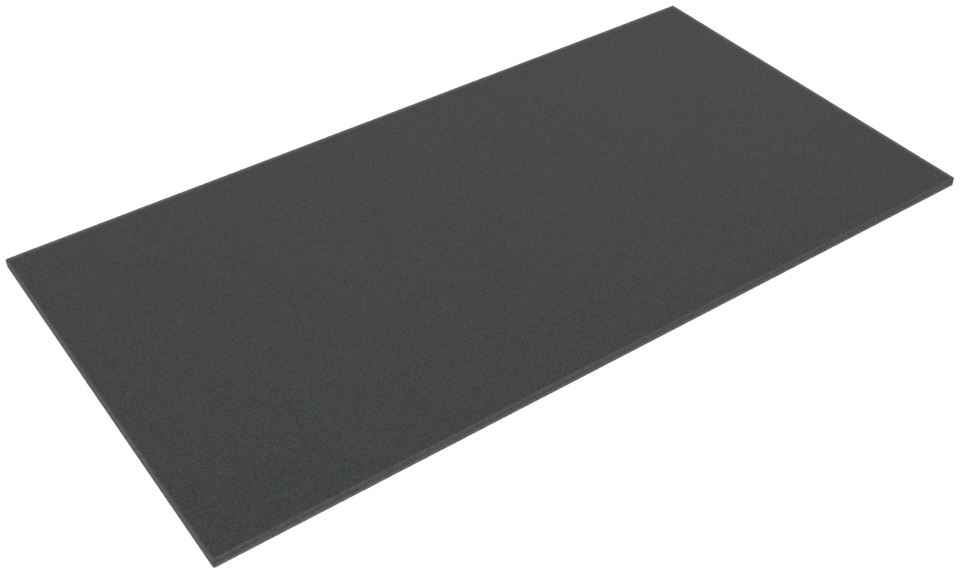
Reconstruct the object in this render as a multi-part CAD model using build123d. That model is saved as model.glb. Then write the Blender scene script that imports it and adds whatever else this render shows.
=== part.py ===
"""Plain foam sheet for lining a tray or drawer, in one piece of open-cell polyurethane foam.

The sheet is skived flat on its two large faces and cut square round its outline, so its walls
stand upright and its four corners are nearly sharp. Knife-cut foam never keeps a hard arris:
the open cells along the cut break away and leave a narrow rounded edge, top and bottom.

Frame: X along the sheet, Y across it, +Z up. The origin is the centre of the underside.
Millimetres.
"""
from build123d import *
import os

# The sheet as it is cut
sheet_length = 430.0  # along X
sheet_width = 222.0  # along Y
sheet_thickness = 5.0  # stock gauge that the block is skived to

# What the knife leaves behind
corner_radius = 0.8  # outline corners, seen from above
arris_radius = 0.5  # worn-back cells where a wall meets a large face


def outline():
    """The knife's path: a rectangle with barely rounded corners."""
    return RectangleRounded(sheet_length, sheet_width, corner_radius)


def foam_sheet():
    """The sheet as one solid, with the arrises of both large faces rounded off."""
    blank = extrude(outline(), sheet_thickness)
    large_faces = blank.faces().filter_by(Axis.Z)
    arrises = large_faces.edges()
    return fillet(arrises, min(arris_radius, sheet_thickness / 3))


os.makedirs("parts", exist_ok=True)
sheet = foam_sheet()
sheet.label = "foam_sheet"
export_step(sheet, "parts/foam_sheet.step")
print(f"foam_sheet: {sheet.volume / 1000:.1f} cm3, {sheet.bounding_box().size}")
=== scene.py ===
"""Plain foam sheet for lining a tray or drawer: its open-cell skin, its knife-cut walls and a small studio.

Laid out as an add-on and run as a script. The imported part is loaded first, and the sheet's length, width,
thickness and radii come from it. Metres, +Z up, the sheet lying flat with the middle of its underside at
the origin.
"""

import math

import bmesh
import bpy
from bpy.props import FloatProperty, FloatVectorProperty, IntProperty, PointerProperty
from mathutils import Matrix, Vector


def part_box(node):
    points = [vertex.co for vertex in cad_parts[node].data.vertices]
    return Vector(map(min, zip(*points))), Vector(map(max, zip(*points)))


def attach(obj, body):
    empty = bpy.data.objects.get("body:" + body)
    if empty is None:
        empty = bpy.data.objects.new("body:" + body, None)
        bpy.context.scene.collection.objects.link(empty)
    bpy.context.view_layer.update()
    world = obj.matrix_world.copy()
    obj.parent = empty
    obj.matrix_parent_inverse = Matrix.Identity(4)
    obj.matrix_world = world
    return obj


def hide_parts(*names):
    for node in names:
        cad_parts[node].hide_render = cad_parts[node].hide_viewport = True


bl_info = {
    "name": "Foam sheet",
    "version": (1, 0, 0),
    "blender": (4, 5, 0),
    "location": "View3D > Sidebar > Foam sheet",
    "description": "Adds a knife-cut sheet of open-cell foam and a plain studio to show it in",
    "category": "Object",
}

CAD_NODE = "foam_sheet"
BODY = "root"
HAIR = 1e-6  # metres: two places nearer than this are the same place
FACES = ("upper", "lower")
SIDES = ("front", "right", "back", "left")

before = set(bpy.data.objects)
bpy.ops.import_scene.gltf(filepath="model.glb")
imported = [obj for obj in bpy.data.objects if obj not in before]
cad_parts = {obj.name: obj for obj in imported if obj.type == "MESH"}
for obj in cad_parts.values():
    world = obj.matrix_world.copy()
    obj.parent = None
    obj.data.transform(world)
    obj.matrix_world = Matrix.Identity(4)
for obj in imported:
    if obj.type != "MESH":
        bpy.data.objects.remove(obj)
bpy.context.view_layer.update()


def packed_radii(high):
    """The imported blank's arris and corner radii: how far short of its high corner its flats end."""
    points = [vertex.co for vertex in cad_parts[CAD_NODE].data.vertices]
    flat_end_x = max(point.x for point in points if point.z > high.z - HAIR)
    wall_end_y = max(point.y for point in points if point.x > high.x - HAIR)
    return high.x - flat_end_x, high.y - wall_end_y


blank_low, blank_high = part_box(CAD_NODE)
blank_size = blank_high - blank_low
blank_arris, blank_corner = packed_radii(blank_high)


# Sizes and colours


class FoamSheetSizes(bpy.types.PropertyGroup):
    """What sets the sheet's shape and the grain of its skin."""

    length: FloatProperty(name="Length", description="Along X", default=blank_size.x, unit="LENGTH")
    width: FloatProperty(name="Width", description="Along Y", default=blank_size.y, unit="LENGTH")
    thickness: FloatProperty(
        name="Thickness", description="Stock gauge", default=blank_size.z, unit="LENGTH", precision=4
    )
    arris_radius: FloatProperty(
        name="Arris radius",
        description="Worn-back cells where a wall meets a large face",
        default=blank_arris,
        unit="LENGTH",
        precision=5,
    )
    corner_radius: FloatProperty(
        name="Corner radius",
        description="Outline corners, seen from above",
        default=blank_corner,
        unit="LENGTH",
        precision=5,
    )
    cell_size: FloatProperty(
        name="Cell size",
        description="Width of one open cell of the foam",
        default=0.00042,
        unit="LENGTH",
        precision=5,
    )
    tear_size: FloatProperty(
        name="Tear size",
        description="Width of the clumps of cells that the knife drags out of a cut wall",
        default=0.0011,
        unit="LENGTH",
        precision=5,
    )
    tear_depth: FloatProperty(
        name="Tear depth",
        description="How far a torn clump is set back from the cut",
        default=0.00014,
        unit="LENGTH",
        precision=5,
    )
    wave_length: FloatProperty(
        name="Wave length",
        description="Distance between the slow waves that the skiving blade leaves",
        default=0.055,
        unit="LENGTH",
        precision=4,
    )
    wave_depth: FloatProperty(
        name="Wave depth",
        description="How far those waves dip below the stock gauge",
        default=0.00008,
        unit="LENGTH",
        precision=5,
    )
    rim_width: FloatProperty(
        name="Rim width",
        description="Width of the frayed band each side of an arris whose fray is 1",
        default=0.0027,
        unit="LENGTH",
        precision=5,
    )
    # Painted highlight as well as loose cell ends: each side's value follows where the light falls, most on
    # the back and right
    upper_fray_and_highlight: FloatVectorProperty(
        name="Upper fray",
        description="Fray of the upper arris at the front, right, back and left; it widens the rim too",
        default=(0.56, 1.25, 1.25, 0.67),
        size=4,
        min=0.0,
    )
    # Painted highlight as well as loose cell ends: the front lower arris is made palest, as if lit by light
    # off the floor
    lower_fray_and_highlight: FloatVectorProperty(
        name="Lower fray",
        description="Fray of the lower arris at the front, right, back and left; it widens the rim too",
        default=(1.4, 0.6, 0.6, 0.2),
        size=4,
        min=0.0,
    )
    mesh_step: FloatProperty(
        name="Mesh step",
        description="Mesh size in the middle of the large faces; the cuts get an eighth of it",
        default=0.0036,
        unit="LENGTH",
        precision=4,
    )
    seed: IntProperty(name="Seed", description="Picks where the tears and waves fall", default=7, min=0)


class FoamColours(bpy.types.PropertyGroup):
    """What sets the colour of the foam."""

    strut: FloatVectorProperty(
        name="Struts",
        description="Cell walls that the light reaches",
        default=(0.0521, 0.0563, 0.0597),
        subtype="COLOR",
        min=0.0,
        max=1.0,
    )
    # Painted shade: the dark inside of an open cell
    pore_shade: FloatVectorProperty(
        name="Hollows",
        description="Inside of an open cell",
        default=(0.0148, 0.0161, 0.0171),
        subtype="COLOR",
        min=0.0,
        max=1.0,
    )
    # Loose cell ends and painted highlight: the pale line along the arrises and the paler cut walls
    frayed_and_highlight: FloatVectorProperty(
        name="Frayed ends",
        description="Loose cell ends, thick along the arrises and thin on the cuts",
        default=(0.1415, 0.1450, 0.1472),
        subtype="COLOR",
        min=0.0,
        max=1.0,
    )


class StudioSettings(bpy.types.PropertyGroup):
    """What sets the floor, the light and the camera."""

    floor_colour: FloatVectorProperty(
        name="Floor",
        description="What the floor throws back on the sheet",
        default=(0.8, 0.8, 0.8),
        subtype="COLOR",
        min=0.0,
        max=1.0,
    )
    room_light: FloatProperty(
        name="Room light", description="Even light from all round", default=0.55, min=0.0
    )
    top_light: FloatProperty(
        name="Top light", description="Power of the large soft box overhead", default=5.3, unit="POWER"
    )
    side_light: FloatProperty(
        name="Side light",
        description="Power of the low soft box at the front left",
        default=35.5,
        unit="POWER",
    )
    back_light: FloatProperty(
        name="Back light",
        description="Power of the low soft box at the back right",
        default=11.0,
        unit="POWER",
    )
    lens: FloatProperty(name="Lens", description="Focal length", default=50.6, unit="CAMERA")
    azimuth: FloatProperty(
        name="Azimuth",
        description="Camera's turn round the sheet, from straight in front towards its left end",
        default=math.radians(35.19),
        unit="ROTATION",
    )
    elevation: FloatProperty(
        name="Elevation",
        description="Camera's height above the horizon",
        default=math.radians(40.97),
        unit="ROTATION",
    )
    distance: FloatProperty(
        name="Distance", description="From the camera to what it looks at", default=0.6396, unit="LENGTH"
    )
    aim: FloatVectorProperty(
        name="Aim",
        description="What the camera looks at, from the middle of the sheet's top face",
        default=(-0.0383, -0.0391, 0.0),
        subtype="TRANSLATION",
        unit="LENGTH",
        precision=4,
    )


# Building node trees


def add_node(tree, kind, inputs=None, **settings):
    """A new node of this kind, with its settings made and each named input linked or filled in."""
    node = tree.nodes.new(kind)
    for name, value in settings.items():
        setattr(node, name, value)
    for name, value in (inputs or {}).items():
        if isinstance(value, bpy.types.NodeSocket):
            tree.links.new(value, node.inputs[name])
        else:
            node.inputs[name].default_value = value
    return node


def maths(tree, operation, *values):
    """The result of one sum on sockets or plain numbers."""
    return add_node(tree, "ShaderNodeMath", dict(enumerate(values)), operation=operation).outputs[0]


def ramp(tree, value, start, end, low=0.0, high=1.0):
    """value carried from start..end to low..high with soft ends."""
    inputs = {"Value": value, "From Min": start, "From Max": end, "To Min": low, "To Max": high}
    node = add_node(tree, "ShaderNodeMapRange", inputs, interpolation_type="SMOOTHSTEP")
    return node.outputs["Result"]


def blend_colours(tree, share, first, second, blend="MIX"):
    """first where share is 0, second where it is 1."""
    node = add_node(tree, "ShaderNodeMix", data_type="RGBA", blend_type=blend)
    for name, value in (("Factor_Float", share), ("A_Color", first), ("B_Color", second)):
        socket = next(s for s in node.inputs if s.identifier == name)
        if isinstance(value, bpy.types.NodeSocket):
            tree.links.new(value, socket)
        else:
            socket.default_value = value
    return next(s for s in node.outputs if s.identifier == "Result_Color")


def dimmed(tree, colour, brightness):
    """colour times one brightness for all its channels."""
    grey = add_node(tree, "ShaderNodeCombineColor", {0: brightness, 1: brightness, 2: brightness})
    return blend_colours(tree, 1.0, colour, grey.outputs[0], "MULTIPLY")


def noise(tree, inputs):
    """The outputs of a noise texture, which has four dimensions where W is among its inputs."""
    dimensions = "4D" if "W" in inputs else "3D"
    return add_node(tree, "ShaderNodeTexNoise", inputs, noise_dimensions=dimensions).outputs


def voronoi(tree, feature, inputs):
    """The outputs of a Voronoi texture, which has four dimensions where W is among its inputs."""
    dimensions = "4D" if "W" in inputs else "3D"
    settings = {"voronoi_dimensions": dimensions, "feature": feature}
    return add_node(tree, "ShaderNodeTexVoronoi", inputs, **settings).outputs


def opaque(colour):
    """A colour property as the four numbers that a colour socket takes."""
    return (*colour, 1.0)


def new_finish(name):
    """A material with an empty node tree."""
    material = bpy.data.materials.new(name)
    material.use_nodes = True
    material.node_tree.nodes.clear()
    return material


# The foam's finish


# The open cells. Lengths are in cells.
BEND_SCALE = 1.4  # ripples to a cell in what bends the struts
BEND_REACH = 0.5  # how far it bends them
CELL_SPREAD = 0.7  # how unevenly the cells lie: 0 is a grid
STRUT_EDGE = (0.03, 0.2)  # how far from a cell's wall its pore begins, and where it is fully open
PORE_LEAST = 0.3  # depth of the shallowest pore, where 1 is as dark as a hollow's painted shade
PORE_SPREAD = 0.8  # how much deeper the deepest pore is
BELOW_LAYER = 1.0  # fourth coordinate of the cells that are seen through the pores
BELOW_SCALE = 1.2  # how many of those there are to a cell of the skin
BELOW_EDGE = (0.02, 0.14)  # how far from their walls their struts begin to fade, and where they are gone
BELOW_SHADED_BRIGHTNESS = 0.45  # painted shade: share of the struts' colour that those deeper struts keep
RELIEF = 0.35  # drop from a strut to the floor of its pore
RELIEF_STRENGTH = 0.25  # share of that drop that the light sees

# Brightness of the skin, as a share of its colour
TONE = 0.865  # what every cell has
GLINT = 0.5  # what the brightest cells gain
GLINT_FROM = 0.4  # share of the cells that gain nothing
MOTTLE = 0.02  # what the slow paler patches gain
MOTTLE_SCALE = 0.06  # patches to a cell
MOTTLE_DETAIL = 3.0

# Loose cell ends and painted highlight, and painted shade in the tears
CUT_FRAY_AND_LIGHT = 0.28  # how pale a cut is made away from its arrises, by loose cell ends and painted highlight
PATCH_SCALE = 0.55  # thinner and thicker patches to a tear
PATCH_DETAIL = 2.0
PATCH_EDGE = (0.38, 0.62)  # where a thin patch ends and a thick one begins
PATCH_LEAST = 0.7  # how much of that paleness the thinnest patches still have
PORE_FRAY_AND_HIGHLIGHT = 0.42  # how much of the loose ends and painted highlight shows over an open pore
TEAR_SHADED_BRIGHTNESS = 0.65  # painted shade: brightness left at the bottom of a tear

# How matt the foam is
STRUT_ROUGHNESS = 0.82
PORE_ROUGHNESS = 1.0
SHINE = 0.08
SHEEN = 0.06
SHEEN_ROUGHNESS = 0.6


def stored(tree, name):
    """A number that the skin tree stored on the mesh."""
    return add_node(tree, "ShaderNodeAttribute", attribute_name=name).outputs["Fac"]


def open_cells(tree, place, cell_size):
    """For each place: how deep it lies in its pore, its cell's draw for glints, and struts seen below."""
    cell_scale = 1.0 / cell_size
    ripples = noise(tree, {"Vector": place, "Scale": BEND_SCALE * cell_scale})["Color"]
    reach = (BEND_REACH * cell_size,) * 3
    bends = {0: ripples, 1: reach, 2: place}
    bent = add_node(tree, "ShaderNodeVectorMath", bends, operation="MULTIPLY_ADD").outputs[0]

    cells = {"Vector": bent, "Scale": cell_scale, "Randomness": CELL_SPREAD}
    from_wall = voronoi(tree, "DISTANCE_TO_EDGE", cells)["Distance"]
    draws = voronoi(tree, "F1", cells)["Color"]
    luck, glint, _ = add_node(tree, "ShaderNodeSeparateColor", {"Color": draws}).outputs
    openness = maths(tree, "MULTIPLY_ADD", luck, PORE_SPREAD, PORE_LEAST)
    depth = maths(tree, "MULTIPLY", ramp(tree, from_wall, *STRUT_EDGE), openness)

    cells_below = {"Vector": bent, "W": BELOW_LAYER, "Scale": BELOW_SCALE * cell_scale}
    from_wall = voronoi(tree, "DISTANCE_TO_EDGE", cells_below)["Distance"]
    # painted shade: the struts seen through the pores are dimmer
    struts_below = ramp(tree, from_wall, *BELOW_EDGE, BELOW_SHADED_BRIGHTNESS, 0.0)
    return depth, glint, struts_below


def cell_colour(tree, colours, depth, struts_below):
    """Light struts over hollows darkened with painted shade, and dimmer struts seen below them in the same
    painted shade.
    """
    strut = opaque(colours.strut)
    inside = blend_colours(tree, struts_below, opaque(colours.pore_shade), strut)
    return blend_colours(tree, depth, strut, inside)


def cell_brightness(tree, place, cell_size, glint):
    """The skin's brightness: some cells glint, and slow patches are a little paler."""
    scale = MOTTLE_SCALE / cell_size
    mottle = noise(tree, {"Vector": place, "Scale": scale, "Detail": MOTTLE_DETAIL})["Fac"]
    brightness = maths(tree, "MULTIPLY_ADD", mottle, MOTTLE, TONE)
    return maths(tree, "MULTIPLY_ADD", ramp(tree, glint, GLINT_FROM, 1.0), GLINT, brightness)


def with_fray_and_painted_light(tree, place, tear_size, colours, colour, depth):
    """colour with pale loose cell ends and painted highlight over it along the arrises and cuts, and
    painted shade inside the tears.
    """
    rim = stored(tree, "rim")
    cut = stored(tree, "cut")
    scale = PATCH_SCALE / tear_size
    patch = noise(tree, {"Vector": place, "Scale": scale, "Detail": PATCH_DETAIL})["Fac"]
    loose_ends_and_highlight = maths(tree, "MAXIMUM", rim, maths(tree, "MULTIPLY", cut, CUT_FRAY_AND_LIGHT))
    loose_ends_and_highlight = maths(tree, "MULTIPLY", loose_ends_and_highlight, ramp(tree, patch, *PATCH_EDGE, PATCH_LEAST, 1.0))
    fray_and_highlight_share = maths(tree, "MULTIPLY", loose_ends_and_highlight, ramp(tree, depth, 0.0, 1.0, 1.0, PORE_FRAY_AND_HIGHLIGHT))
    # painted highlight and loose cell ends make the arrises and cuts paler
    colour = blend_colours(tree, fray_and_highlight_share, colour, opaque(colours.frayed_and_highlight))
    # painted shade: darker where a tear is deeper
    brightness = ramp(tree, stored(tree, "torn"), 0.0, 1.0, 1.0, TEAR_SHADED_BRIGHTNESS)
    return blend_colours(tree, cut, colour, dimmed(tree, colour, brightness))


def foam_finish(sizes, colours):
    """Matt charcoal open-cell foam: light struts round pores darkened with painted shade, paler along the
    cuts with loose cell ends and painted highlight.
    """
    material = new_finish("open_cell_foam")
    tree = material.node_tree
    place = add_node(tree, "ShaderNodeTexCoord").outputs["Object"]
    depth, glint, struts_below = open_cells(tree, place, sizes.cell_size)
    brightness = cell_brightness(tree, place, sizes.cell_size, glint)
    colour = dimmed(tree, cell_colour(tree, colours, depth, struts_below), brightness)
    colour = with_fray_and_painted_light(tree, place, sizes.tear_size, colours, colour, depth)
    relief = {
        "Height": maths(tree, "MULTIPLY", depth, -1.0),
        "Strength": RELIEF_STRENGTH,
        "Distance": RELIEF * sizes.cell_size,
    }
    looks = {
        "Base Color": colour,
        "Roughness": ramp(tree, depth, 0.0, 1.0, STRUT_ROUGHNESS, PORE_ROUGHNESS),
        "Normal": add_node(tree, "ShaderNodeBump", relief).outputs["Normal"],
        "Specular IOR Level": SHINE,
        "Sheen Weight": SHEEN,
        "Sheen Roughness": SHEEN_ROUGHNESS,
    }
    surface = add_node(tree, "ShaderNodeBsdfPrincipled", looks).outputs["BSDF"]
    add_node(tree, "ShaderNodeOutputMaterial", {"Surface": surface})
    return material


# The sheet's shape


FINER_WITHIN = (2.0, 1.0, 0.5)  # mesh steps from a cut where the mesh is halved, and halved again
CUT_FINENESS = 2 ** len(FINER_WITHIN)  # squares to a mesh step at the cuts, after those halvings

# The skin tree takes these sizes as inputs of the same name
SKIN_SIZES = (
    "length",
    "width",
    "thickness",
    "rim_width",
    "tear_size",
    "tear_depth",
    "wave_length",
    "wave_depth",
)

# How far up or down a surface faces where a cut starts to fade, and where it is gone
CUT_TILT = (0.15, 0.95)

# The tears in the cuts, and the waves on the top
CLUMP_EDGE = (0.1, 0.7)  # how far from its middle a torn clump is deepest, and where it ends, in clumps
CRUMBS = 1.5  # crumbs to a clump
CRUMB_DETAIL = 2.0
CRUMB_EDGE = (0.3, 0.65)  # where a crumb that stayed ends and one that fell out begins
WAVE_DETAIL = 1.0


def rounded(point, half, arris_radius, corner_radius):
    """Where a point on the square-edged blank goes once its corners and arrises are rounded."""
    past_x = max(abs(point.x) - (half.x - corner_radius), 0.0)
    past_y = max(abs(point.y) - (half.y - corner_radius), 0.0)
    reach = max(past_x, past_y)
    if reach == 0.0:
        return point.copy()
    outwards = Vector((past_x, past_y)).normalized()
    height = abs(point.z)
    over = Vector((reach - (corner_radius - arris_radius), height - (half.z - arris_radius)))
    if over.x > 0.0 and over.y > 0.0:
        turned = over.normalized() * max(over)
        reach, height = Vector((reach, height)) - over + turned
    return Vector((
        math.copysign(abs(point.x) - past_x + outwards.x * reach, point.x),
        math.copysign(abs(point.y) - past_y + outwards.y * reach, point.y),
        math.copysign(height, point.z),
    ))


def graded_blank(sizes):
    """The blank as a closed skin of squares, coarse in the middle of its large faces, fine at the cuts."""
    half = Vector((sizes.length, sizes.width, sizes.thickness)) / 2
    bm = bmesh.new()
    bmesh.ops.create_cube(bm, size=1.0)
    for vertex in bm.verts:
        vertex.co = Vector(2 * h * c for h, c in zip(half, vertex.co))
    counts = [
        round(sizes.length / sizes.mesh_step),
        round(sizes.width / sizes.mesh_step),
        round(sizes.thickness / sizes.mesh_step * CUT_FINENESS),
    ]
    for axis, count in enumerate(counts):
        along = [e for e in bm.edges if abs((e.verts[0].co - e.verts[1].co)[axis]) > HAIR]
        bmesh.ops.subdivide_edges(bm, edges=along, cuts=count - 1, use_grid_fill=True)

    def inset(vertex):
        return min(half.x - abs(vertex.co.x), half.y - abs(vertex.co.y))

    def upright(edge):
        return abs(edge.verts[0].co.z - edge.verts[1].co.z) > HAIR

    step = sizes.length / counts[0]
    for steps in FINER_WITHIN:
        margin = steps * step
        near = [e for e in bm.edges if not upright(e) and max(map(inset, e.verts)) < margin + HAIR]
        bmesh.ops.subdivide_edges(bm, edges=near, cuts=1, use_grid_fill=True)
    for vertex in bm.verts:
        vertex.co = rounded(vertex.co, half, sizes.arris_radius, sizes.corner_radius)
        vertex.co.z += half.z
    bmesh.ops.recalc_face_normals(bm, faces=bm.faces)
    for face in bm.faces:
        face.smooth = True
    mesh = bpy.data.meshes.new("foam_blank")
    bm.to_mesh(mesh)
    bm.free()
    return mesh


def fray_and_highlight_input(face, side):
    """The name of the input that says how pale the arris between this face and this side is made, by loose
    cell ends and painted highlight.
    """
    return f"Fray {face} {side}"


def input_name(size):
    """The name of the input that takes this size."""
    return size.replace("_", " ").capitalize()


def empty_skin_tree():
    """A geometry tree with the skin's named inputs and nothing done to the mesh yet."""
    tree = bpy.data.node_groups.new("foam_skin", "GeometryNodeTree")
    numbers = [input_name(size) for size in SKIN_SIZES]
    numbers += [fray_and_highlight_input(face, side) for face in FACES for side in SIDES]
    inputs = {"Geometry": "NodeSocketGeometry"}
    inputs.update(dict.fromkeys(numbers, "NodeSocketFloat"))
    inputs.update({"Seed": "NodeSocketInt", "Material": "NodeSocketMaterial"})
    for name, kind in inputs.items():
        tree.interface.new_socket(name, in_out="INPUT", socket_type=kind)
    tree.interface.new_socket("Geometry", in_out="OUTPUT", socket_type="NodeSocketGeometry")
    return tree


def fray_and_highlight_near_arrises(tree, given, place):
    """How pale each place is made by the arrises near it, with loose cell ends and painted highlight: each
    arris's share, fading out over its rim.
    """
    x, y, z = add_node(tree, "ShaderNodeSeparateXYZ", {0: place}).outputs
    half_length = maths(tree, "MULTIPLY", given["Length"], 0.5)
    half_width = maths(tree, "MULTIPLY", given["Width"], 0.5)
    from_sides = {
        "front": maths(tree, "ADD", half_width, y),
        "right": maths(tree, "SUBTRACT", half_length, x),
        "back": maths(tree, "SUBTRACT", half_width, y),
        "left": maths(tree, "ADD", half_length, x),
    }
    from_faces = {"upper": maths(tree, "SUBTRACT", given["Thickness"], z), "lower": z}
    rim = 0.0
    for face in FACES:
        for side in SIDES:
            fray_and_light = given[fray_and_highlight_input(face, side)]
            across = maths(tree, "POWER", from_sides[side], 2.0)
            down = maths(tree, "POWER", from_faces[face], 2.0)
            from_arris = maths(tree, "SQRT", maths(tree, "ADD", across, down))
            band = maths(tree, "MULTIPLY", given["Rim width"], fray_and_light)
            rim = maths(tree, "MAXIMUM", rim, ramp(tree, from_arris, 0.0, band, fray_and_light, 0.0))
    return rim


def tears(tree, given, place, loose):
    """How deep each place is torn, from 0 to 1: clumps with crumbs left in them, where cells are loose."""
    clump_scale = maths(tree, "DIVIDE", 1.0, given["Tear size"])
    clumps = {"Vector": place, "W": given["Seed"], "Scale": clump_scale}
    from_middle = voronoi(tree, "SMOOTH_F1", clumps)["Distance"]
    crumb_scale = maths(tree, "DIVIDE", CRUMBS, given["Tear size"])
    crumbs = {"Vector": place, "W": given["Seed"], "Scale": crumb_scale, "Detail": CRUMB_DETAIL}
    fallen_out = ramp(tree, noise(tree, crumbs)[0], *CRUMB_EDGE)
    clump = ramp(tree, from_middle, *CLUMP_EDGE, 1.0, 0.0)
    return maths(tree, "MULTIPLY", maths(tree, "MULTIPLY", clump, fallen_out), loose)


def skiving_dip(tree, given, place):
    """How far the skiving waves lower each place: most at the top, nothing at the underside."""
    wave_scale = maths(tree, "DIVIDE", 1.0, given["Wave length"])
    waves = {"Vector": place, "W": given["Seed"], "Scale": wave_scale, "Detail": WAVE_DETAIL}
    depth = maths(tree, "MULTIPLY", noise(tree, waves)[0], given["Wave depth"])
    height = add_node(tree, "ShaderNodeSeparateXYZ", {0: place}).outputs[2]
    return maths(tree, "MULTIPLY", depth, maths(tree, "DIVIDE", height, given["Thickness"]))


def foam_skin_tree():
    """Geometry nodes that wear the blank: torn clumps on the cuts, slow skiving waves on the top."""
    tree = empty_skin_tree()
    given = add_node(tree, "NodeGroupInput").outputs
    place = add_node(tree, "GeometryNodeInputPosition").outputs[0]
    normal = add_node(tree, "GeometryNodeInputNormal").outputs[0]
    upwards = add_node(tree, "ShaderNodeSeparateXYZ", {0: normal}).outputs[2]

    rim = fray_and_highlight_near_arrises(tree, given, place)
    cut = ramp(tree, maths(tree, "ABSOLUTE", upwards), *CUT_TILT, 1.0, 0.0)
    loose = maths(tree, "MINIMUM", maths(tree, "MAXIMUM", rim, cut), 1.0)
    torn = tears(tree, given, place, loose)
    set_back = maths(tree, "MULTIPLY", maths(tree, "MULTIPLY", torn, given["Tear depth"]), -1.0)
    tear = add_node(tree, "ShaderNodeVectorMath", {0: normal, "Scale": set_back}, operation="SCALE")
    drop = maths(tree, "MULTIPLY", skiving_dip(tree, given, place), -1.0)
    drop = add_node(tree, "ShaderNodeCombineXYZ", {2: drop})
    both = {0: tear.outputs[0], 1: drop.outputs[0]}
    moved = add_node(tree, "ShaderNodeVectorMath", both, operation="ADD").outputs[0]

    geometry = given["Geometry"]
    for name, value in (("rim", rim), ("cut", cut), ("torn", torn)):
        geometry = add_node(
            tree,
            "GeometryNodeStoreNamedAttribute",
            {"Geometry": geometry, "Name": name, "Value": value},
            data_type="FLOAT",
            domain="POINT",
        ).outputs[0]
    for kind, inputs in (
        ("GeometryNodeSetPosition", {"Offset": moved}),
        ("GeometryNodeRealizeInstances", {}),
        ("GeometryNodeSetMaterial", {"Material": given["Material"]}),
    ):
        geometry = add_node(tree, kind, {"Geometry": geometry, **inputs}).outputs[0]
    add_node(tree, "NodeGroupOutput", {"Geometry": geometry})
    return tree


def worn(blank, tree, values):
    """A plain mesh of the blank after this tree, with the tree's named inputs filled from values."""
    carrier = bpy.data.objects.new("blank_carrier", blank)
    bpy.context.scene.collection.objects.link(carrier)
    modifier = carrier.modifiers.new("skin", "NODES")
    modifier.node_group = tree
    sockets = {s.name: s.identifier for s in tree.interface.items_tree if s.in_out == "INPUT"}
    for name, value in values.items():
        modifier[sockets[name]] = value
    graph = bpy.context.evaluated_depsgraph_get()
    mesh = bpy.data.meshes.new_from_object(carrier.evaluated_get(graph), depsgraph=graph)
    carrier.modifiers.remove(modifier)
    bpy.data.objects.remove(carrier)
    return mesh


class FOAM_OT_add_sheet(bpy.types.Operator):
    """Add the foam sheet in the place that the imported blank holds"""

    bl_idname = "foam.add_sheet"
    bl_label = "Add foam sheet"
    bl_options = {"REGISTER", "UNDO"}

    def execute(self, context):
        sizes = context.scene.foam_sizes
        finish = foam_finish(sizes, context.scene.foam_colours)
        values = {input_name(size): getattr(sizes, size) for size in SKIN_SIZES}
        values.update({"Seed": sizes.seed, "Material": finish})
        for face, frays_and_highlights in zip(FACES, (sizes.upper_fray_and_highlight, sizes.lower_fray_and_highlight)):
            for side, fray_and_light in zip(SIDES, frays_and_highlights):
                values[fray_and_highlight_input(face, side)] = fray_and_light
        mesh = worn(graded_blank(sizes), foam_skin_tree(), values)
        if not mesh.polygons:
            raise RuntimeError("the foam skin came out empty")
        mesh.name = "foam_sheet_skin"
        sheet = bpy.data.objects.new("foam_sheet_skin", mesh)
        context.scene.collection.objects.link(sheet)
        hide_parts(CAD_NODE)
        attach(sheet, BODY)
        return {"FINISHED"}


# The studio


FLOOR_GAP = 2e-5  # metres: keeps the floor from showing through the underside
FLOOR_REACH = 4.0  # metres from its middle to each side
FLOOR_OWN_LIGHT = 0.85  # brightness that the floor shows without any lamp
FLOOR_LIT_SHARE = 0.3  # how much of the lamps' light it shows on top of that, and so how deep shadows are
SOFT_BOX_SIZE = 0.9  # metres


def seen_itself(tree):
    """1 where the surroundings are seen, directly, mirrored or through glass; 0 where they only light."""
    path = add_node(tree, "ShaderNodeLightPath").outputs
    seen = maths(tree, "MAXIMUM", path["Is Camera Ray"], path["Is Glossy Ray"])
    return maths(tree, "MAXIMUM", seen, path["Is Transmission Ray"])


def floor_paint(colour):
    """A pale finish that the camera and reflections see near white, with the sheet's shadow still on it."""
    material = new_finish("pale_floor")
    tree = material.node_tree
    lit = add_node(tree, "ShaderNodeBsdfDiffuse", {"Color": opaque(colour)}).outputs[0]
    faint_grey = opaque((FLOOR_LIT_SHARE,) * 3)
    faint = add_node(tree, "ShaderNodeBsdfDiffuse", {"Color": faint_grey}).outputs[0]
    glow = add_node(tree, "ShaderNodeEmission", {"Strength": FLOOR_OWN_LIGHT}).outputs[0]
    pale = add_node(tree, "ShaderNodeAddShader", {0: faint, 1: glow}).outputs[0]
    both = add_node(tree, "ShaderNodeMixShader", {0: seen_itself(tree), 1: lit, 2: pale}).outputs[0]
    add_node(tree, "ShaderNodeOutputMaterial", {"Surface": both})
    return material


def add_floor(colour):
    """A flat pale floor under the sheet."""
    bm = bmesh.new()
    bmesh.ops.create_grid(bm, x_segments=1, y_segments=1, size=FLOOR_REACH)
    mesh = bpy.data.meshes.new("floor")
    bm.to_mesh(mesh)
    bm.free()
    mesh.transform(Matrix.Translation((0.0, 0.0, blank_low.z - FLOOR_GAP)))
    mesh.materials.append(floor_paint(colour))
    floor = bpy.data.objects.new("floor", mesh)
    bpy.context.scene.collection.objects.link(floor)


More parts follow.
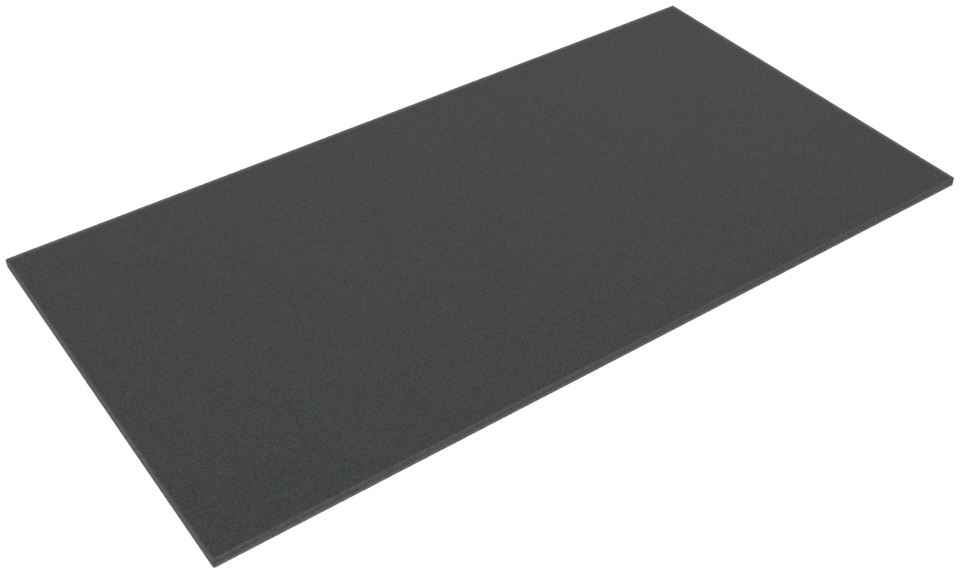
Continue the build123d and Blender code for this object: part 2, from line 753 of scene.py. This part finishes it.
def light_room(strength):
    """Even light from all round, seen as white."""
    world = bpy.data.worlds.new("room")
    world.use_nodes = True
    tree = world.node_tree
    tree.nodes.clear()
    room = add_node(tree, "ShaderNodeBackground", {"Strength": strength}).outputs[0]
    white = add_node(tree, "ShaderNodeBackground", {"Color": opaque((1.0,) * 3), "Strength": 1.0})
    shaders = {0: seen_itself(tree), 1: room, 2: white.outputs[0]}
    both = add_node(tree, "ShaderNodeMixShader", shaders).outputs[0]
    add_node(tree, "ShaderNodeOutputWorld", {"Surface": both})
    bpy.context.scene.world = world


def away(azimuth, elevation, distance):
    """The way to something at this turn (from straight in front, towards the left), height and distance."""
    flat = math.cos(elevation) * distance
    return Vector((-math.sin(azimuth) * flat, -math.cos(azimuth) * flat, math.sin(elevation) * distance))


def stand_at(thing, place, target):
    """Puts a lamp or camera at a place and faces it to its target."""
    thing.location = place
    thing.rotation_mode = "QUATERNION"
    thing.rotation_quaternion = (target - place).to_track_quat("-Z", "Y")
    bpy.context.scene.collection.objects.link(thing)


def add_soft_box(name, power, azimuth, elevation, distance):
    """A large square lamp that faces the sheet's middle, with its angles in degrees."""
    lamp = bpy.data.lights.new(name, "AREA")
    lamp.energy = power
    lamp.shape = "SQUARE"
    lamp.size = SOFT_BOX_SIZE
    middle = (blank_low + blank_high) / 2
    place = middle + away(math.radians(azimuth), math.radians(elevation), distance)
    stand_at(bpy.data.objects.new(name, lamp), place, middle)


def add_camera(settings):
    """The camera, looking down on the sheet from its front left."""
    camera = bpy.data.cameras.new("camera")
    camera.sensor_width = 36.0
    camera.lens = settings.lens
    camera.clip_end = 20.0
    top_middle = (blank_low + blank_high) / 2
    top_middle.z = blank_high.z
    target = top_middle + Vector(settings.aim)
    place = target + away(settings.azimuth, settings.elevation, settings.distance)
    holder = bpy.data.objects.new("camera", camera)
    stand_at(holder, place, target)
    bpy.context.scene.camera = holder


class FOAM_OT_add_studio(bpy.types.Operator):
    """Add the floor, the soft light and the camera"""

    bl_idname = "foam.add_studio"
    bl_label = "Add studio"
    bl_options = {"REGISTER", "UNDO"}

    def execute(self, context):
        settings = context.scene.foam_studio
        add_floor(settings.floor_colour)
        light_room(settings.room_light)
        add_soft_box("top_soft_box", settings.top_light, azimuth=200.0, elevation=80.0, distance=1.0)
        add_soft_box("side_soft_box", settings.side_light, azimuth=51.0, elevation=12.0, distance=2.4)
        add_soft_box("back_soft_box", settings.back_light, azimuth=235.0, elevation=14.0, distance=2.4)
        add_camera(settings)
        context.scene.view_settings.view_transform = "Standard"
        return {"FINISHED"}


class FOAM_PT_sheet(bpy.types.Panel):
    """Sidebar panel with everything that the sheet and its studio take"""

    bl_idname = "FOAM_PT_sheet"
    bl_label = "Foam sheet"
    bl_space_type = "VIEW_3D"
    bl_region_type = "UI"
    bl_category = "Foam sheet"

    def draw(self, context):
        scene = context.scene
        parts = (
            (scene.foam_sizes, None),
            (scene.foam_colours, FOAM_OT_add_sheet.bl_idname),
            (scene.foam_studio, FOAM_OT_add_studio.bl_idname),
        )
        for settings, operator in parts:
            box = self.layout.box()
            for name in settings.__annotations__:
                box.prop(settings, name)
            if operator:
                box.operator(operator)


CLASSES = (
    FoamSheetSizes,
    FoamColours,
    StudioSettings,
    FOAM_OT_add_sheet,
    FOAM_OT_add_studio,
    FOAM_PT_sheet,
)


def register():
    for cls in CLASSES:
        bpy.utils.register_class(cls)
    bpy.types.Scene.foam_sizes = PointerProperty(type=FoamSheetSizes)
    bpy.types.Scene.foam_colours = PointerProperty(type=FoamColours)
    bpy.types.Scene.foam_studio = PointerProperty(type=StudioSettings)


def unregister():
    del bpy.types.Scene.foam_studio
    del bpy.types.Scene.foam_colours
    del bpy.types.Scene.foam_sizes
    for cls in reversed(CLASSES):
        bpy.utils.unregister_class(cls)


def main():
    """Builds the sheet and its studio."""
    register()
    bpy.ops.foam.add_sheet()
    bpy.ops.foam.add_studio()


if __name__ == "__main__":
    main()
